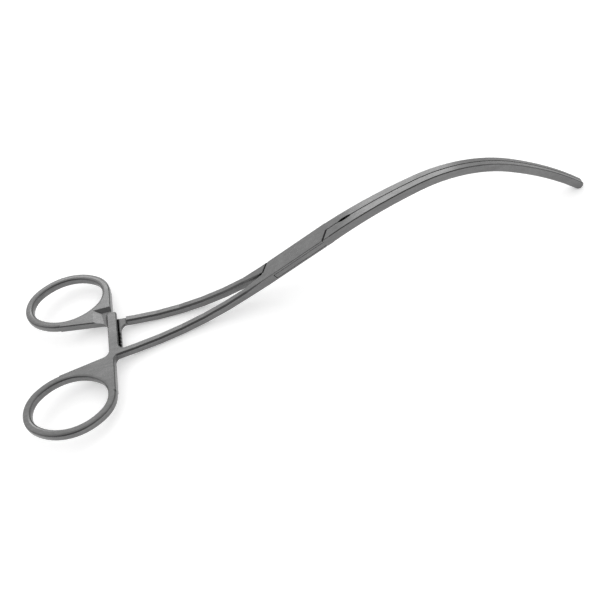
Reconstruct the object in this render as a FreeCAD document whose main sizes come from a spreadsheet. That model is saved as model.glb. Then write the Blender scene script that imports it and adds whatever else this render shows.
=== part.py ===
import FreeCAD, Part
import math
import os

from FreeCAD import Placement, Rotation, Vector

# Peripheral vascular clamp with a box lock: two forged halves and the rivet that joins them.
# Millimetres. The halves are drawn in the lock's own frame: X along the lock towards the jaw tips,
# Y the way the halves open, Z the pin axis, with the pin's centre as origin. At the end the whole
# clamp is turned to the way it lies on a table, with +Z up.

doc = FreeCAD.newDocument("vascular_clamp")
sheet = doc.addObject("Spreadsheet::Sheet", "sizes")

SIZES = [
    # box lock
    ("lock_width", 8.7),
    ("lock_height", 4.7),
    ("lock_reach", 14.3),
    ("lock_lean", 3.4),
    ("lock_root", 0.3),
    ("bend_margin", 0.2),
    ("lock_edge", 0.25),
    ("slot_height", 2.7),
    ("slot_reach", 12.7),
    ("slot_end_gap", 0.25),
    ("tongue_play", 0.05),
    ("shoulder_gap", 0.12),
    ("shoulder_bevel", 0.55),
    ("tongue_bevel", 0.2),
    # rivet
    ("pin_radius", 1.6),
    ("pin_play", 0.03),
    ("pin_head_radius", 2.1),
    ("pin_head_depth", 0.55),
    # jaws, three bends one after the other
    ("jaw_root_radius", 202.6),
    ("jaw_root_turn", 12.1),
    ("jaw_bend_radius", 59.7),
    ("jaw_bend_turn", 39.8),
    ("jaw_tip_radius", 148.0),
    ("jaw_tip_turn", 15.6),
    ("jaw_tip_width", 1.85),
    ("jaw_tip_height", 3.8),
    ("jaw_edge", 0.4),
    ("jaw_gap", 0.05),
    ("jaw_step_width", 0.2),
    ("jaw_step_depth", 0.25),
    ("relief_start", 23.4),
    ("relief_length", 7.9),
    ("relief_depth", 0.8),
    # atraumatic teeth
    ("teeth_start", 62.0),
    ("teeth_tip_margin", 1.0),
    ("teeth_pitch", 1.8),
    ("teeth_height", 0.4),
    ("teeth_width", 0.7),
    ("teeth_row_step", 1.0),
    ("teeth_land", 0.12),
    ("teeth_play", 0.12),
    # shanks
    ("shank_bend_radius", 142.6),
    ("shank_bend_turn", 27.0),
    ("shank_height", 4.2),
    ("shank_crotch", 0.45),
    ("shank_width", 3.5),
    ("shank_root_length", 10.0),
    ("shank_root_offset", 2.55),
    ("shank_end_offset", 9.8),
    ("shank_bow", 0.62),
    ("shank_steps", 5),
    ("shank_edge", 0.75),
    # finger rings
    ("ring_station", 117.1),
    ("ring_offset", 30.4),
    ("ring_long", 19.2),
    ("ring_wide", 14.7),
    ("ring_end_radius", 12.0),
    ("ring_bar_width", 3.8),
    ("ring_bar_round", 1.35),
    ("ring_facets", 3),
    # ratchet and the web that carries it
    ("ratchet_station", 95.8),
    ("ratchet_width", 4.6),
    ("upper_bar_reach", 15.4),
    ("lower_bar_reach", 9.2),
    ("ratchet_corner", 1.6),
    ("ratchet_gap", 0.1),
    ("ratchet_pitch", 2.3),
    ("ratchet_teeth", 5),
    ("ratchet_tooth_depth", 0.7),
    ("ratchet_tooth_start", 1.4),
    ("lower_bar_extra", 1.1),
    ("web_reach", 10.0),
    ("web_fillet", 3.5),
    ("web_edge", 0.45),
    ("recess_play", 0.6),
    ("upper_recess_room", 4.6),
    ("recess_ramp_gap", 1.3),
    ("recess_ramp_run", 5.2),
    ("upper_recess_end_run", 3.0),
]
for row, (alias, value) in enumerate(SIZES, 1):
    sheet.set("A%d" % row, alias)
    sheet.set("B%d" % row, str(value))
    sheet.setAlias("B%d" % row, alias)
doc.recompute()


def size(alias):
    return float(sheet.get(alias))


# Values worked out from the sheet

half_width = size("lock_width") / 2
half_height = size("lock_height") / 2
lock_run = size("lock_lean") / half_width
shoulder_far = size("lock_reach") + size("lock_lean")
lock_end = shoulder_far + size("lock_root")
straight = lock_end + size("bend_margin")
tip_half_height = size("jaw_tip_height") / 2
handle_half_height = size("shank_height") / 2
shank_turn = math.radians(size("shank_bend_turn"))
shank_bend_length = size("shank_bend_radius") * shank_turn
jaw_bends = [
    (size("jaw_root_radius"), math.radians(size("jaw_root_turn"))),
    (size("jaw_bend_radius"), math.radians(size("jaw_bend_turn"))),
    (size("jaw_tip_radius"), math.radians(size("jaw_tip_turn"))),
]
jaw_ends = []
reached = straight
for radius, turn in jaw_bends:
    reached += radius * turn
    jaw_ends.append(reached)
jaw_end = jaw_ends[-1]
bend_end = -straight - shank_bend_length
far = 4 * size("ring_offset")
close = 1e-6


def spine(s):
    """The middle line's x, z and slope at the length s from the pin, along the clamp."""
    if abs(s) <= straight:
        return s, 0.0, 0.0
    if s > 0:
        x, z, slope, left = straight, 0.0, 0.0, s - straight
        for radius, turn in jaw_bends:
            angle = min(left / radius, turn)
            x += radius * (math.sin(angle - slope) + math.sin(slope))
            z += radius * (math.cos(angle - slope) - math.cos(slope))
            slope -= angle
            left -= angle * radius
        return x, z, slope
    left = -s - straight
    angle = min(left, shank_bend_length) / size("shank_bend_radius")
    x = -straight - size("shank_bend_radius") * math.sin(angle)
    z = size("shank_bend_radius") * (1 - math.cos(angle))
    left -= angle * size("shank_bend_radius")
    return x - left * math.cos(angle), z + left * math.sin(angle), -angle


def place(s, y, height):
    """A point at the length s, beside the middle line by y and above it by height."""
    x, z, slope = spine(s)
    return Vector(x - height * math.sin(slope), y, z + height * math.cos(slope))


def half_depth(s):
    """Half the thickness of the clamp at the length s."""
    if s > straight:
        share = (s - straight) / (jaw_end - straight)
        return half_height + (tip_half_height - half_height) * share
    share = min(1.0, max(0.0, (-s - straight) / shank_bend_length))
    return half_height + (handle_half_height - half_height) * share


def arc_or_line(first, middle, last):
    if (middle - first).cross(last - first).Length < close:
        return Part.LineSegment(first, last).toShape()
    return Part.Arc(first, middle, last).toShape()


def run(start, end, side, inset):
    """One edge of the side outline, an arc over a bend and a line over a straight run."""
    stations = (start, (start + end) / 2, end)
    return arc_or_line(*[place(s, 0, side * (half_depth(s) - inset)) for s in stations])


def side_outline(stations, round_tip, inset=0):
    """The outline of a stretch of the clamp seen from the side, drawn smaller all round by inset."""
    pairs = list(zip(stations, stations[1:]))
    edges = [run(a, b, 1, inset) for a, b in pairs]
    last = stations[-1]
    half = half_depth(last) - inset
    upper, lower = place(last, 0, half), place(last, 0, -half)
    if round_tip:
        x, z, slope = spine(last)
        nose = Vector(x + half * math.cos(slope), 0, z + half * math.sin(slope))
        edges.append(Part.Arc(upper, nose, lower).toShape())
    else:
        edges.append(Part.LineSegment(upper, lower).toShape())
    edges += [run(b, a, -1, inset) for a, b in reversed(pairs)]
    first = stations[0]
    half = half_depth(first) - inset
    edges.append(Part.LineSegment(place(first, 0, -half), place(first, 0, half)).toShape())
    return Part.Wire(edges)


def polygon(points):
    """A closed wire through plan points, on the plane of the middle of the lock."""
    corners = [Vector(x, y, 0) for x, y in points]
    return Part.makePolygon(corners + corners[:1])


def rounded_polygon(points):
    """A closed wire through (x, y, radius) points, with each corner rounded to its radius."""
    edges, joints = [], []
    count = len(points)
    for i, (x, y, radius) in enumerate(points):
        corner = Vector(x, y, 0)
        before = Vector(*points[i - 1][:2], 0) - corner
        after = Vector(*points[(i + 1) % count][:2], 0) - corner
        before.normalize()
        after.normalize()
        if radius == 0:
            joints.append((corner, corner))
            continue
        half_angle = before.getAngle(after) / 2
        back = radius / math.tan(half_angle)
        middle = (before + after).normalize()
        bulge = radius / math.sin(half_angle) - radius
        start, end = corner + before * back, corner + after * back
        edges.append(Part.Arc(start, corner + middle * bulge, end).toShape())
        joints.append((start, end))
    for i in range(count):
        start, end = joints[i][1], joints[(i + 1) % count][0]
        if (end - start).Length > close:
            edges.append(Part.LineSegment(start, end).toShape())
    return Part.Wire(Part.__sortEdges__(edges))


def slab(wire, low, high):
    """The plan outline raised between two heights."""
    face = Part.Face(wire)
    face.translate(Vector(0, 0, low))
    return face.extrude(Vector(0, 0, high - low))


def middle_of(edge):
    return edge.valueAt((edge.FirstParameter + edge.LastParameter) / 2)


def feature(name, shape):
    made = doc.addObject("Part::Feature", name)
    made.Shape = shape
    return made


def boolean(kind, name, base, tool):
    made = doc.addObject("Part::" + kind, name)
    made.Base = base
    made.Tool = tool
    return made


def fused(name, pieces):
    made = doc.addObject("Part::MultiFuse", name)
    made.Shapes = pieces
    made.Refine = True
    return made


# The handles lie in a plane of their own, tilted with the end of the shank bend

handle_x, handle_z, handle_slope = spine(bend_end)
handle_tilt = Placement(
    Vector(handle_x, 0, handle_z),
    Rotation(Vector(0, 1, 0), -math.degrees(handle_slope)),
).multiply(Placement(Vector(-bend_end, 0, 0), Rotation()))


def on_handle(shape):
    """A shape drawn flat, with x as the length s, moved to the handle plane."""
    moved = shape.copy()
    moved.Placement = handle_tilt.multiply(moved.Placement)
    return moved


# Jaws

jaw_x, jaw_z, jaw_slope = spine(jaw_end)
wall_angle = math.atan2(half_width - size("jaw_tip_width"), jaw_x - straight)


def jaw(sign):
    """One jaw, on the side of the closing plane that sign gives, with its outer edges eased."""
    start = straight - half_width
    face = Part.Face(side_outline([start, straight] + jaw_ends, True))
    blank = face.extrude(Vector(0, -sign * size("lock_width"), 0))
    outer = [e for e in blank.Edges if abs(middle_of(e).y) < close and middle_of(e).x > start + close]
    blank = blank.makeChamfer(size("jaw_edge"), outer)
    blank.rotate(Vector(straight, 0, 0), Vector(0, 0, 1), -sign * math.degrees(wall_angle))
    blank.translate(Vector(0, sign * half_width, 0))
    corner = Vector(lock_end, size("jaw_gap") if sign > 0 else -size("jaw_gap") - far, -far)
    return blank.common(Part.makeBox(far, far, 2 * far, corner))


# Shanks

shank_length = size("ratchet_station") - straight


def shank_middle(s):
    """How far the middle of the shank stands from the closing plane, bowing outward to the ring."""
    share = (-s - straight) / shank_length
    run_out = size("shank_end_offset") - size("shank_root_offset")
    return size("shank_root_offset") + run_out * share - 4 * size("shank_bow") * share * (1 - share)


def shank_section(s, inner, outer, edge):
    """The shank's cross-section at the length s, a block with its four corners cut off."""
    half = half_depth(s)
    corners = [
        (inner + edge, half), (outer - edge, half), (outer, half - edge), (outer, edge - half),
        (outer - edge, -half), (inner + edge, -half), (inner, edge - half), (inner, half - edge),
    ]
    points = [place(s, y, height) for y, height in corners]
    return Part.makePolygon(points + points[:1])


def shank(sign):
    """One shank from the lock to the web, on the side that sign gives."""
    root_end = -straight - size("shank_root_length")
    count = int(size("shank_steps"))
    stations = [root_end + (bend_end - root_end) * i / count for i in range(count + 1)]
    stations.append(-size("ratchet_station"))
    sections = [shank_section(-straight, size("shank_crotch"), half_width, size("lock_edge"))]
    for s in stations:
        middle = shank_middle(s)
        half = size("shank_width") / 2
        sections.append(shank_section(s, middle - half, middle + half, size("shank_edge")))
    bar = Part.makeLoft(sections, True, True)
    if sign < 0:
        bar = bar.mirror(Vector(), Vector(0, 1, 0))
    return bar


# Finger rings, each a four-arc oval with a rounded bar

ring_side_radius = (
    (size("ring_long") ** 2 + size("ring_wide") ** 2 - 2 * size("ring_long") * size("ring_end_radius"))
    / (2 * (size("ring_wide") - size("ring_end_radius")))
)
end_centre = size("ring_long") - size("ring_end_radius")
side_centre = ring_side_radius - size("ring_wide")
ring_split = math.degrees(math.atan2(side_centre, end_centre))


def bar_section(radius):
    """The ring bar's cross-section at a radius, each corner rounded off in a few flats."""
    round_ = size("ring_bar_round")
    side, top = size("ring_bar_width") / 2 - round_, handle_half_height - round_
    count = int(size("ring_facets"))
    points = []
    for corner, (sx, sz) in enumerate(((1, 1), (-1, 1), (-1, -1), (1, -1))):
        for i in range(count + 1):
            angle = math.pi / 2 * (corner + i / count)
            across = sx * side + round_ * math.cos(angle)
            points.append(Vector(radius + across, 0, sz * top + round_ * math.sin(angle)))
    return Part.Face(Part.makePolygon(points + points[:1]))


def ring():
    """The finger ring about its own centre, with its long axis on X."""
    pieces = []
    for centre, radius, start, angle in (
        (Vector(end_centre, 0, 0), size("ring_end_radius"), -ring_split, 2 * ring_split),
        (Vector(-end_centre, 0, 0), size("ring_end_radius"), 180 - ring_split, 2 * ring_split),
        (Vector(0, -side_centre, 0), ring_side_radius, ring_split, 180 - 2 * ring_split),
        (Vector(0, side_centre, 0), ring_side_radius, 180 + ring_split, 180 - 2 * ring_split),
    ):
        section = bar_section(radius)
        section.rotate(Vector(), Vector(0, 0, 1), start)
        section.translate(centre)
        pieces.append(section.revolve(centre, Vector(0, 0, 1), angle))
    return pieces[0].multiFuse(pieces[1:])


def oval(extra):
    """The ring's middle line, moved outward by extra, as a wire about the ring's centre."""
    edges = []
    split = math.radians(ring_split)
    for sx in (1, -1):
        radius = size("ring_end_radius") + extra
        centre = Vector(sx * end_centre, 0, 0)
        x, y = sx * radius * math.cos(split), radius * math.sin(split)
        ends = [centre + Vector(x, -y, 0), centre + Vector(x, y, 0)]
        edges.append(Part.Arc(ends[0], centre + Vector(sx * radius, 0, 0), ends[1]).toShape())
    for sy in (1, -1):
        radius = ring_side_radius + extra
        centre = Vector(0, -sy * side_centre, 0)
        x, y = radius * math.cos(split), sy * radius * math.sin(split)
        ends = [centre + Vector(-x, y, 0), centre + Vector(x, y, 0)]
        edges.append(Part.Arc(ends[0], centre + Vector(0, sy * radius, 0), ends[1]).toShape())
    return Part.Wire(Part.__sortEdges__(edges))


def tangent_point(centre, radius, point):
    """Where the tangent from a point touches a circle, on the side away from the lock."""
    reach = point - centre
    angle = math.atan2(reach.y, reach.x) - math.acos(radius / reach.Length)
    return centre + Vector(radius * math.cos(angle), radius * math.sin(angle), 0)


# The web between ring and shank, with the ratchet bar, drawn flat for the half on the +Y side

ring_centre = Vector(-size("ring_station"), size("ring_offset"), 0)
ring_outer = size("ring_bar_width") / 2
bar_left = -size("ratchet_station") - size("ratchet_width") / 2
bar_right = -size("ratchet_station") + size("ratchet_width") / 2


def web(reach, extra):
    """Web and ratchet bar in one plate of full height, the bar reaching so far and widened by extra."""
    right = bar_right + extra
    bury = size("shank_edge")
    half = size("shank_width") / 2 - bury
    root = Vector(bar_left, size("web_reach"), 0)
    touch = tangent_point(ring_centre + Vector(0, side_centre, 0), ring_side_radius + ring_outer, root)
    neck = ring_centre.x + size("ring_long") + ring_outer
    front = right + size("ratchet_width") + size("web_edge")
    points = [
        (right, -reach, size("ratchet_corner")),
        (bar_left, -reach, size("ratchet_corner")),
        (bar_left, root.y, size("web_fillet")),
        (touch.x, touch.y, 0),
        (ring_centre.x, ring_centre.y, 0),
        (neck, ring_centre.y, 0),
        (neck, shank_middle(neck) + half, size("web_fillet")),
        (front, shank_middle(front) + half, 0),
        (front, shank_middle(front) - half, 0),
        (right, shank_middle(right) - half, size("web_fillet")),
    ]
    plate = slab(rounded_polygon(points), -handle_half_height, handle_half_height)
    rims = [e for e in plate.Edges if abs(abs(middle_of(e).z) - handle_half_height) < close]
    plate = plate.makeChamfer(size("web_edge"), rims)
    hole = oval(0)
    hole.translate(ring_centre)
    return plate.cut(slab(hole, -far, far))


# Lock

slot_far = shoulder_far - size("slot_reach")
shoulder_step = size("shoulder_gap") * math.hypot(1, lock_run)
slot_step = size("slot_end_gap") * math.hypot(1, slot_far / half_width)


def lock_block(points, half, extra):
    """A straight block of the lock from its plan corners, with its long outer edges eased."""
    block = slab(polygon(points), -half, half)
    if extra:
        flanks = [
            e for e in block.Edges
            if abs(abs(middle_of(e).y) - half_width) < close and abs(abs(middle_of(e).z) - half) < close
        ]
        block = block.makeChamfer(extra, flanks)
    return block


def turned(points):
    """The same corners turned half a turn about the pin."""
    return [(-x, -y) for x, y in points]


def diagonal(y):
    """How far from the pin the cheeks' slanted ends stand at the distance y from the middle."""
    return size("lock_reach") + size("lock_lean") * (1 - abs(y) / half_width)


def end_shoulder(end):
    """Plan corners of a solid end of the tongue half, beyond the cheek, on its handle side."""
    inner = size("shank_crotch")
    return [
        (-end, inner),
        (-diagonal(inner) - shoulder_step, inner),
        (-size("lock_reach") - shoulder_step, half_width),
        (-end, half_width),
    ]


cheek_outline = [
    (shoulder_far, size("jaw_gap")),
    (shoulder_far, 0),
    (size("lock_reach"), -half_width),
    (-straight, -half_width),
    (-straight, -size("shank_crotch")),
    (-shoulder_far, 0),
    (-size("lock_reach"), half_width),
    (lock_end, half_width),
    (lock_end, size("jaw_gap")),
]


def tongue_outline(step, side):
    """Plan corners of the tongue, with its slanted ends moved out by step and its flanks by side."""
    near = half_width + side
    slant = slot_far / half_width
    return [
        (-shoulder_far - side, near),
        (size("slot_reach") + step - slant * side, near),
        (shoulder_far + step, 0),
        (shoulder_far + side, -near),
        (-size("slot_reach") - step + slant * side, -near),
        (-shoulder_far - step, 0),
    ]


# The ratchet bars slide on a cone about the pin axis, whose tip stands below the lock

cone_slope = math.tan(-handle_slope)
cone_tip = handle_z + handle_x * cone_slope
cone_reach = size("ring_station") + size("ring_offset")


def sliding_cone(name, lift):
    """A solid cone about the pin axis, moved up by lift, wide enough to cross both ratchet bars."""
    cone = doc.addObject("Part::Cone", name)
    cone.Radius1 = 0
    cone.Radius2 = cone_reach
    cone.Height = cone_reach * cone_slope
    cone.Placement = Placement(Vector(0, 0, cone_tip + lift), Rotation())
    return cone


def recess(right, reach, end_run):
    """Room for the other half's ratchet bar, cut from the top down, with a ramp on the ring's side."""
    rise = 2 * handle_half_height
    steepness = rise / handle_half_height
    left = bar_left - size("recess_ramp_gap")
    wires = []
    for height, growth in ((-rise, 0), (0, 0), (rise, steepness)):
        outer = left - growth * size("recess_ramp_run")
        far_end = reach + size("recess_play") + growth * end_run
        corners = [(outer, -far), (right, -far), (right, far_end), (outer, far_end)]
        wire = polygon(corners)
        wire.translate(Vector(0, 0, height))
        wires.append(wire)
    return Part.makeLoft(wires, True, True)


def sliding_height(y):
    """How high the sliding cone stands above the middle of the handles, on the ratchet, at y."""
    x = handle_x - (size("ratchet_station") + bend_end) * math.cos(handle_slope)
    return (math.hypot(x, y) - abs(x)) * math.sin(-handle_slope)


def ratchet_notches(sign, reach, right):
    """Saw-tooth notches in the sliding face of a ratchet bar, from its end inward."""
    notches = []
    depth, pitch = size("ratchet_tooth_depth"), size("ratchet_pitch")
    for i in range(int(size("ratchet_teeth"))):
        y = sign * (size("ratchet_tooth_start") + i * pitch - reach)
        base = sliding_height(y)
        clear = base + sign * depth / 4
        corners = [(y, base - sign * depth), (y + sign * pitch, clear), (y, clear)]
        points = [Vector(bar_left - pitch, *corner) for corner in corners]
        outline = Part.Face(Part.makePolygon(points + points[:1]))
        notches.append(outline.extrude(Vector(right - bar_left + 2 * pitch, 0, 0)))
    return notches


def under(shape):
    """The same shape for the other half: mirrored across the middle plane and turned upside down."""
    return shape.mirror(Vector(), Vector(0, 0, 1)).mirror(Vector(), Vector(0, 1, 0))


# Handle halves

def handle_pieces(sign, reach, extra):
    """Shank, web and ring of one half, with its finger ring on the side sign gives."""
    hoop = ring()
    hoop.translate(ring_centre)
    plate = web(reach, extra)
    if sign < 0:
        hoop = hoop.mirror(Vector(), Vector(0, 1, 0))
        plate = plate.mirror(Vector(), Vector(0, 1, 0))
    plate = plate.cut(ratchet_notches(sign, reach, bar_right + extra))
    return [
        feature("shank", shank(sign)),
        feature("web", on_handle(plate)),
        feature("finger_ring", on_handle(hoop)),
    ]


# Grooves that part the two halves on the outside

def shoulder_groove(start, end):
    """V-grooves over and under the slanted gap between a cheek and a solid end."""
    along = (end - start).normalize()
    bevel = size("shoulder_bevel")
    across = Vector(-along.y, along.x, 0) * 2 * bevel
    cuts = []
    for side in (1, -1):
        rim = start + Vector(0, 0, side * half_height)
        up = Vector(0, 0, side * bevel)
        outline = Part.makePolygon([rim - up, rim + up + across, rim + up - across, rim - up])
        cuts.append(Part.Face(outline).extrude(along * ((end - start).Length + 2 * bevel)))
    return cuts


def jaw_step():
    """A shallow step along the closing edges of both jaws, from the lock round the tip."""
    stations = [shoulder_far, straight] + jaw_ends
    width = size("jaw_step_width")
    walls = []
    for inset in (-width, size("jaw_step_depth")):
        wall = Part.Face(side_outline(stations, True, inset)).extrude(Vector(0, 2 * width, 0))
        wall.translate(Vector(0, -width, 0))
        walls.append(wall)
    return walls[0].cut(walls[1])


def relief():
    """The lens-shaped opening between the jaws close to the lock."""
    start, length, depth = size("relief_start"), size("relief_length"), size("relief_depth")
    first, middle, last = [spine(start + length * share)[0] for share in (0, 0.5, 1)]
    sides = [
        Part.Arc(Vector(first, 0, 0), Vector(middle, side * depth, 0), Vector(last, 0, 0)).toShape()
        for side in (1, -1)
    ]
    return slab(Part.Wire(sides), -2 * size("lock_height"), size("lock_height"))


# Toothed rows along the jaws: one row on the far jaw seats between two on the near jaw

teeth_end = jaw_end - size("teeth_tip_margin")
row_past = size("teeth_height") - size("jaw_gap")


def row(height, extra, start_y, end_y):
    """A straight-sided bar that follows the jaws at a height, between two distances from the middle."""
    half = size("teeth_width") / 2 + extra
    start = size("teeth_start") - extra
    stations = [start] + [s for s in jaw_ends[:-1] if s > start] + [teeth_end + extra]
    pairs = list(zip(stations, stations[1:]))
    upper, lower = height + half, height - half
    edges = [arc_or_line(*[place(s, 0, upper) for s in (a, (a + b) / 2, b)]) for a, b in pairs]
    edges.append(Part.LineSegment(place(stations[-1], 0, upper), place(stations[-1], 0, lower)).toShape())
    edges += [arc_or_line(*[place(s, 0, lower) for s in (b, (a + b) / 2, a)]) for a, b in reversed(pairs)]
    edges.append(Part.LineSegment(place(stations[0], 0, lower), place(stations[0], 0, upper)).toShape())
    bar = Part.Face(Part.Wire(edges)).extrude(Vector(0, end_y - start_y, 0))
    bar.translate(Vector(0, start_y, 0))
    return bar


def row_heights(sign):
    """The heights of one jaw's rows: the middle one for the far jaw, one to each side for the near jaw."""
    if sign > 0:
        return [0]
    return [size("teeth_row_step"), -size("teeth_row_step")]


def tooth_gap(s, sign):
    """The V-shaped gap between two teeth at the length s, its point on the middle plane."""
    half = (size("teeth_pitch") - size("teeth_land")) / 2
    across = size("teeth_row_step") + size("teeth_width")
    slope = spine(s)[2]
    along = Vector(math.cos(slope), 0, math.sin(slope))
    beyond = row_past + size("teeth_play")
    corners = [(0, 0), (half, row_past), (half, beyond), (-half, beyond), (-half, row_past)]
    points = [place(s, -sign * reach, -across) + along * side for side, reach in corners]
    gap = Part.Face(Part.makePolygon(points + points[:1]))
    return gap.extrude(Vector(-math.sin(slope), 0, math.cos(slope)) * 2 * across)


def teeth(sign):
    """The toothed rows of one jaw, standing past the middle plane."""
    pitch = size("teeth_pitch")
    count = int((teeth_end - size("teeth_start")) / pitch)
    gaps = [tooth_gap(size("teeth_start") + (i + 0.5) * pitch, sign) for i in range(count)]
    rows = []
    for height in row_heights(sign):
        rows.append(row(height, 0, -sign * row_past, sign * size("teeth_height")).cut(gaps))
    return rows


def toothed_jaw(sign):
    """One jaw with its own toothed rows and room for the other jaw's."""
    play = size("teeth_play")
    rooms = [row(height, play, -sign * play, sign * (row_past + play)) for height in row_heights(-sign)]
    return jaw(sign).cut([relief()] + rooms).fuse(teeth(sign))


# Grooves shared by both halves

gap_ends = Vector(-shoulder_far, 0, 0), Vector(-size("lock_reach"), half_width, 0)
grooves = shoulder_groove(*gap_ends) + shoulder_groove(-gap_ends[0], -gap_ends[1])
parting = fused("parting", [feature("groove", shape) for shape in grooves + [jaw_step()]])

# Box half: cheeks and slot, near finger ring, far jaw

box_blank = fused("box_blank", handle_pieces(-1, size("upper_bar_reach"), 0) + [
    feature("cheeks", lock_block(cheek_outline, half_height, size("lock_edge"))),
    feature("far_jaw", toothed_jaw(1)),
])
upper_cone = sliding_cone("upper_sliding_cone", size("ratchet_gap") / 2)
lower_bar_right = bar_right + size("lower_bar_extra") + size("recess_play")
lower_bar_room = recess(lower_bar_right, size("lower_bar_reach"), 0)
upper_recess = feature("upper_recess", on_handle(under(lower_bar_room)))
upper_room = boolean("Cut", "upper_room", upper_recess, upper_cone)
box_with_bar = boolean("Cut", "box_with_bar", box_blank, upper_room)
slot = feature("slot", slab(polygon(tongue_outline(slot_step, half_width)), -size("slot_height") / 2,
                            size("slot_height") / 2))
box_slotted = boolean("Cut", "box_slotted", box_with_bar, slot)
box_parted = boolean("Cut", "box_parted", box_slotted, parting)

# Tongue half: tongue between solid ends, far finger ring, near jaw

tongue_half_height = size("slot_height") / 2 - size("tongue_play")
tongue_blank = fused("tongue_blank", handle_pieces(1, size("lower_bar_reach"), size("lower_bar_extra")) + [
    feature("tongue", lock_block(tongue_outline(0, 0), tongue_half_height, size("tongue_bevel"))),
    feature("handle_end", lock_block(end_shoulder(straight), half_height, size("lock_edge"))),
    feature("jaw_end", lock_block(turned(end_shoulder(lock_end)), half_height, size("lock_edge"))),
    feature("near_jaw", toothed_jaw(-1)),
])
lower_cone = sliding_cone("lower_sliding_cone", -size("ratchet_gap") / 2)
upper_bar_right = bar_right + size("upper_recess_room")
upper_bar_room = recess(upper_bar_right, size("upper_bar_reach"), size("upper_recess_end_run"))
lower_recess = feature("lower_recess", on_handle(upper_bar_room))
lower_room = boolean("Common", "lower_room", lower_recess, lower_cone)
tongue_with_bar = boolean("Cut", "tongue_with_bar", tongue_blank, lower_room)
tongue_parted = boolean("Cut", "tongue_parted", tongue_with_bar, parting)


# Rivet, flush in both cheeks

def pin_cylinder(name, radius):
    rod = doc.addObject("Part::Cylinder", name)
    rod.setExpression("Radius", radius)
    rod.setExpression("Height", "sizes.lock_height")
    rod.setExpression(".Placement.Base.z", "-sizes.lock_height / 2")
    return rod


def pin_heads(name):
    """The two countersunk ends of the rivet, wide at the cheeks' faces."""
    heads = []
    for side in (1, -1):
        head = doc.addObject("Part::Cone", name)
        head.setExpression("Radius1", "sizes.pin_head_radius")
        head.setExpression("Radius2", "sizes.pin_radius")
        head.setExpression("Height", "sizes.pin_head_depth")
        head.Placement = Placement(Vector(), Rotation(Vector(1, 0, 0), 0 if side < 0 else 180))
        head.setExpression(".Placement.Base.z", "%d * sizes.lock_height / 2" % side)
        heads.append(head)
    return heads


def rivet_shape(name):
    return fused(name, [pin_cylinder(name + "_rod", "sizes.pin_radius")] + pin_heads(name + "_head"))


box_half = boolean("Cut", "box_half", box_parted, rivet_shape("rivet_hole"))
tongue_bore = pin_cylinder("tongue_bore", "sizes.pin_radius + sizes.pin_play")
tongue_half = boolean("Cut", "tongue_half", tongue_parted, tongue_bore)
joint_pin = rivet_shape("joint_pin")
doc.recompute()

# The clamp lies on a table on its jaw tips and the lower side of its shank bends

nodes = [box_half, tongue_half, joint_pin]


def after_turn(point, turn):
    """The height of a point once the clamp is turned about Y by so many degrees."""
    return Rotation(Vector(0, 1, 0), turn).multVec(point).z


def tip_height(turn):
    return after_turn(place(jaw_end, 0, 0), turn) - half_depth(jaw_end)


def bend_height(turn):
    stations = [-straight - shank_bend_length * i / 100 for i in range(101)]
    return min(after_turn(place(s, 0, -half_depth(s)), turn) for s in stations)


def rest_turn():
    """The turn about Y that brings jaw tips and shank bends to the same height."""
    low, high = -45.0, 0.0
    for _ in range(50):
        middle = (low + high) / 2
        if tip_height(middle) > bend_height(middle):
            low = middle
        else:
            high = middle
    return (low + high) / 2


resting = Placement(Vector(), Rotation(Vector(0, 1, 0), rest_turn()))
for node in nodes:
    node.Placement = resting
doc.recompute()
box = nodes[0].Shape.optimalBoundingBox()
for node in nodes[1:]:
    box.add(node.Shape.optimalBoundingBox())
resting.Base = -Vector(box.Center.x, box.Center.y, box.ZMin)
for node in nodes:
    node.Placement = resting
    node.Label = node.Name
doc.recompute()

for item in doc.Objects:
    if "Invalid" in item.State or "Error" in item.State:
        raise RuntimeError("%s failed to build" % item.Name)
for node in nodes:
    if node.Shape.isNull() or not node.Shape.isValid() or len(node.Shape.Solids) != 1:
        raise RuntimeError("%s is not one valid solid" % node.Label)

os.makedirs("parts", exist_ok=True)
for node in nodes:
    node.Shape.exportStep("parts/%s.step" % node.Label)
    print(node.Label, "%.1f mm3" % node.Shape.Volume)
print("pin centre", resting.Base, "turned by", resting.Rotation.Angle, "about", resting.Rotation.Axis)
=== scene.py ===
import math

import bpy
from mathutils import Matrix, Vector


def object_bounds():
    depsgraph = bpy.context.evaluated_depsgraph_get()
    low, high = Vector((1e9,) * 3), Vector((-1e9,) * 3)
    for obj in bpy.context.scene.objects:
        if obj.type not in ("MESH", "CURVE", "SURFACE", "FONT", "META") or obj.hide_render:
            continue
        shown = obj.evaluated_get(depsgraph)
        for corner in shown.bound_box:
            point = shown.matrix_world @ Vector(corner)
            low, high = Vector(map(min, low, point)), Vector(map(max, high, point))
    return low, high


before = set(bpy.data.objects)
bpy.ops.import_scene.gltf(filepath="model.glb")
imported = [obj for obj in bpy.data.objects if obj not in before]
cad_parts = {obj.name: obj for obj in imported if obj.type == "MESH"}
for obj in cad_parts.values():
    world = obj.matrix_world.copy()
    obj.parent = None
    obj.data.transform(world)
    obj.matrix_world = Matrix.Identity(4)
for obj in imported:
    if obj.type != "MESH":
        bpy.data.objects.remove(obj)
cad_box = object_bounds()

# Camera, lamp and studio: places and sizes in metres in the row frame, roll in degrees, lens in millimetres

CAMERA_PLACE = (0.01753, -0.23254, 0.26154)
CAMERA_AIM = (-0.00292, -0.01514, 0.00542)
CAMERA_ROLL = -22.96
CAMERA_NEAR = 0.01
LENS = 45.57
SENSOR = 36.0

LAMP_PLACE = (0.03, 0.73, 0.64)
LAMP_AIM = (0.0, 0.0, 0.0)
LAMP_WIDTH = 0.72
LAMP_HEIGHT = 0.2
LAMP_POWER = 0.8

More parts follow.
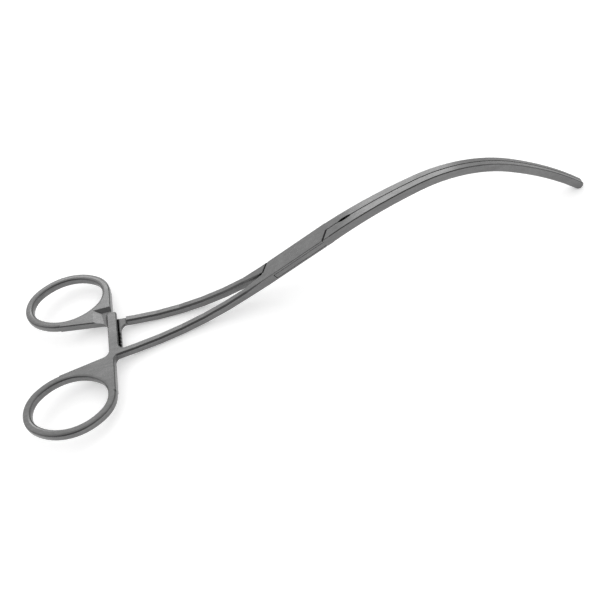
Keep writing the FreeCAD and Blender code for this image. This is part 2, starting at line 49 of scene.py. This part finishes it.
# The studio darkens as a direction nears DARK_SIDE, over the span of their dot product
DARK_SIDE = (-0.03, -0.55, 0.83)
DARK_SPAN = (0.6, 0.95)
SKY_BRIGHT = 1.08
SKY_DARK = 0.4

WHITE = (1.0, 1.0, 1.0, 1.0)
FLOOR_SIDE = 12 * (cad_box[1][0] - cad_box[0][0])
FLOOR_GLOW = 0.36
PAPER_SCALE = 40.0
PAPER_TONES = (0.9, 0.92)
PAPER_ROUGHNESS = 0.9

# Steel: noise scales are waves in a metre, and tones are shares of the light that comes back

# Painted shade by face direction: level faces lighter, slanted faces darkest, upright sides between
LEVEL_LIT_TONE = 0.19
SLANT_SHADE_TONE = 0.11
SIDE_SHADE_TONE = 0.175
# Spans of the normal's rise, 0 on an upright side and 1 on a level face
SIDE_TO_SLANT = (0.3, 0.5)
SLANT_TO_LEVEL = (0.74, 0.83)

CLOUD_SCALE = 60.0
CLOUD_SPAN = (0.3, 0.7)
STREAK_SCALES = (60.0, 900.0, 900.0)
WEAR_SPAN = (0.7, 1.3)
WEAR_TONES = (0.88, 1.12)
SPECKLE_SCALE = 1100.0
SPECKLE_SPAN = (0.3, 0.7)
SPECKLE_TONES = (0.94, 1.06)

# A painted edge highlight shows where the rounded and the sharp normal part, by their dot product; the
# rivet's rim is painted slightly darker
EDGE_RADIUS = 0.0002
EDGE_SAMPLES = 6
EDGE_SPAN = (0.9, 0.998)
FORGING_EDGE_HIGHLIGHT = 1.8
RIVET_EDGE_SHADE = 0.9

# Painted shade in crevices and seams: a surface is darkened where faces nearer than the reach take light
# away
CREVICE_SHADE_REACH = 0.0014
CREVICE_SHADE_SPAN = (0.68, 0.98)
CREVICE_SHADE_TONES = (0.02, 1.0)

ROUGHNESS = (0.2418, 0.2782)
BRUSHED_SCALES = (300.0, 3500.0, 3500.0)
BLASTED_SCALE = 9000.0
GRAIN_STRENGTH = 0.25
GRAIN_DEPTH = 0.00002

# Detail of the noises: how many finer layers each one has
SOFT, MIDDLE, FINE = 2.0, 3.0, 4.0


# Shader building

class Nodes:
    """The node tree of a material or world, with short calls to add and join nodes."""

    def __init__(self, owner):
        owner.use_nodes = True
        self.tree = owner.node_tree
        self.tree.nodes.clear()

    def add(self, kind, inputs=None, **settings):
        """A new node. An input is another node's socket, which is joined, or a plain value."""
        node = self.tree.nodes.new(kind)
        for key, value in settings.items():
            setattr(node, key, value)
        for key, value in (inputs or {}).items():
            if isinstance(value, bpy.types.NodeSocket):
                self.tree.links.new(value, node.inputs[key])
            else:
                node.inputs[key].default_value = value
        return node

    def noise(self, place, scale, detail):
        inputs = {"Vector": place, "Scale": scale, "Detail": detail}
        return self.add("ShaderNodeTexNoise", inputs).outputs["Fac"]

    def drawn_noise(self, place, scales, detail):
        """Noise with a scale for each axis, which draws it out along the clamp."""
        drawn = self.add("ShaderNodeMapping", {"Vector": place, "Scale": scales}).outputs["Vector"]
        return self.noise(drawn, 1.0, detail)

    def calculate(self, operation, first, second):
        return self.add("ShaderNodeMath", {0: first, 1: second}, operation=operation).outputs[0]

    def times(self, first, second):
        return self.calculate("MULTIPLY", first, second)

    def dot(self, first, second):
        inputs = {0: first, 1: second}
        return self.add("ShaderNodeVectorMath", inputs, operation="DOT_PRODUCT").outputs["Value"]

    def ramp(self, value, span, results):
        """The span of a value laid onto two results, which also hold beyond its ends."""
        inputs = {
            "Value": value,
            "From Min": span[0],
            "From Max": span[1],
            "To Min": results[0],
            "To Max": results[1],
        }
        return self.add("ShaderNodeMapRange", inputs).outputs["Result"]

    def grey(self, tone):
        inputs = {"Red": tone, "Green": tone, "Blue": tone}
        return self.add("ShaderNodeCombineColor", inputs).outputs["Color"]


def steel(name, edge_paint):
    """Satin surgical steel: painted shade by face direction, lighter on level faces and darkest on slants,
    painted shade in crevices and seams, and a fine blasted and brushed grain. Its edges carry a painted
    highlight, the given factor times as light as the faces beside them; below 1 it paints them darker."""
    material = bpy.data.materials.new(name)
    nodes = Nodes(material)
    coordinates = nodes.add("ShaderNodeTexCoord").outputs
    place = coordinates["Object"]

    # Painted shade by face direction, set by how level the face is
    rise = nodes.add("ShaderNodeSeparateXYZ", {"Vector": coordinates["Normal"]}).outputs["Z"]
    flatness = nodes.add("ShaderNodeMath", {0: rise}, operation="ABSOLUTE").outputs[0]
    slant_shade = nodes.ramp(flatness, SIDE_TO_SLANT, (SIDE_SHADE_TONE, SLANT_SHADE_TONE))
    level_light = nodes.ramp(flatness, SLANT_TO_LEVEL, (0.0, LEVEL_LIT_TONE - SLANT_SHADE_TONE))
    tone = nodes.calculate("ADD", slant_shade, level_light)

    clouds = nodes.noise(place, CLOUD_SCALE, MIDDLE)
    streaks = nodes.drawn_noise(place, STREAK_SCALES, FINE)
    speckle = nodes.noise(place, SPECKLE_SCALE, MIDDLE)
    wear = nodes.calculate("ADD", clouds, streaks)
    worn = nodes.times(tone, nodes.ramp(wear, WEAR_SPAN, WEAR_TONES))
    speckled = nodes.times(worn, nodes.ramp(speckle, SPECKLE_SPAN, SPECKLE_TONES))

    eased = nodes.add("ShaderNodeBevel", {"Radius": EDGE_RADIUS}, samples=EDGE_SAMPLES).outputs["Normal"]
    sharp = nodes.add("ShaderNodeNewGeometry").outputs["Normal"]
    # Painted edge highlight: edges are lightened by the given factor, or darkened when it is below 1
    painted_edges = nodes.times(speckled, nodes.ramp(nodes.dot(eased, sharp), EDGE_SPAN, (edge_paint, 1.0)))

    # Painted shade: ambient occlusion darkens crevices, seams and hollows
    crevice_shade = nodes.add("ShaderNodeAmbientOcclusion", {"Distance": CREVICE_SHADE_REACH}).outputs["AO"]
    shade = nodes.times(painted_edges, nodes.ramp(crevice_shade, CREVICE_SHADE_SPAN, CREVICE_SHADE_TONES))

    brushed = nodes.drawn_noise(place, BRUSHED_SCALES, MIDDLE)
    blasted = nodes.noise(place, BLASTED_SCALE, SOFT)
    bump = nodes.add("ShaderNodeBump", {
        "Strength": GRAIN_STRENGTH,
        "Distance": GRAIN_DEPTH,
        "Height": nodes.times(brushed, blasted),
        "Normal": eased,
    })
    shader = nodes.add("ShaderNodeBsdfPrincipled", {
        "Base Color": nodes.grey(shade),
        "Metallic": 1.0,
        "Roughness": nodes.ramp(clouds, CLOUD_SPAN, ROUGHNESS),
        "Normal": bump.outputs["Normal"],
    })
    nodes.add("ShaderNodeOutputMaterial", {"Surface": shader.outputs[0]})
    return material


def paper():
    """White paper that the camera and the steel see as plain white, with the clamp's own shadow kept."""
    material = bpy.data.materials.new("floor_paper")
    nodes = Nodes(material)
    place = nodes.add("ShaderNodeTexCoord").outputs["Object"]
    tone = nodes.ramp(nodes.noise(place, PAPER_SCALE, SOFT), (0.0, 1.0), PAPER_TONES)
    rays = nodes.add("ShaderNodeLightPath").outputs
    seen = rays["Is Camera Ray"]
    for ray in ("Is Glossy Ray", "Is Transmission Ray"):
        seen = nodes.calculate("MAXIMUM", seen, rays[ray])
    shader = nodes.add("ShaderNodeBsdfPrincipled", {
        "Base Color": nodes.grey(tone),
        "Roughness": PAPER_ROUGHNESS,
        "Emission Color": WHITE,
        "Emission Strength": nodes.times(seen, FLOOR_GLOW),
    })
    nodes.add("ShaderNodeOutputMaterial", {"Surface": shader.outputs[0]})
    return material


# Object

def finish_metal():
    """The steel of the two forgings, with a painted highlight on their edges, and of the rivet, which is
    made flush and whose rim is painted slightly darker.
    """
    forged = steel("satin_steel", FORGING_EDGE_HIGHLIGHT)
    rivet = steel("rivet_steel", RIVET_EDGE_SHADE)
    for name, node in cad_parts.items():
        for slot in node.material_slots:
            slot.material = rivet if name == "joint_pin" else forged


# Stage

def looking(place, aim, roll=0.0):
    """The matrix of a camera or lamp at a place, looking at aim, turned about its view by roll degrees."""
    place = Vector(place)
    turn = (Vector(aim) - place).to_track_quat("-Z", "Y").to_matrix().to_4x4()
    return Matrix.Translation(place) @ turn @ Matrix.Rotation(math.radians(roll), 4, "Z")


def floor():
    mesh = bpy.data.meshes.new("floor")
    half = FLOOR_SIDE / 2
    corners = [(-half, -half, 0), (half, -half, 0), (half, half, 0), (-half, half, 0)]
    mesh.from_pydata(corners, [], [(0, 1, 2, 3)])
    plane = bpy.data.objects.new("floor", mesh)
    bpy.context.collection.objects.link(plane)
    mesh.materials.append(paper())


def lamp():
    """One wide soft lamp behind the clamp, which draws its shadow on the floor towards the camera."""
    light = bpy.data.lights.new("key", "AREA")
    light.shape = "RECTANGLE"
    light.size = LAMP_WIDTH
    light.size_y = LAMP_HEIGHT
    light.energy = LAMP_POWER
    holder = bpy.data.objects.new("key", light)
    holder.matrix_world = looking(LAMP_PLACE, LAMP_AIM)
    bpy.context.collection.objects.link(holder)


def sky():
    """A plain white studio: even walls, darker high up in front of the clamp."""
    world = bpy.data.worlds.new("studio")
    bpy.context.scene.world = world
    nodes = Nodes(world)
    way = nodes.add("ShaderNodeTexCoord").outputs["Generated"]
    strength = nodes.ramp(nodes.dot(way, DARK_SIDE), DARK_SPAN, (SKY_BRIGHT, SKY_DARK))
    background = nodes.add("ShaderNodeBackground", {"Color": WHITE, "Strength": strength})
    nodes.add("ShaderNodeOutputWorld", {"Surface": background.outputs[0]})


def camera():
    data = bpy.data.cameras.new("camera")
    data.lens = LENS
    data.sensor_width = SENSOR
    data.clip_start = CAMERA_NEAR
    eye = bpy.data.objects.new("camera", data)
    eye.matrix_world = looking(CAMERA_PLACE, CAMERA_AIM, CAMERA_ROLL)
    bpy.context.collection.objects.link(eye)
    bpy.context.scene.camera = eye


finish_metal()
floor()
lamp()
sky()
camera()
bpy.context.scene.view_settings.view_transform = "Standard"
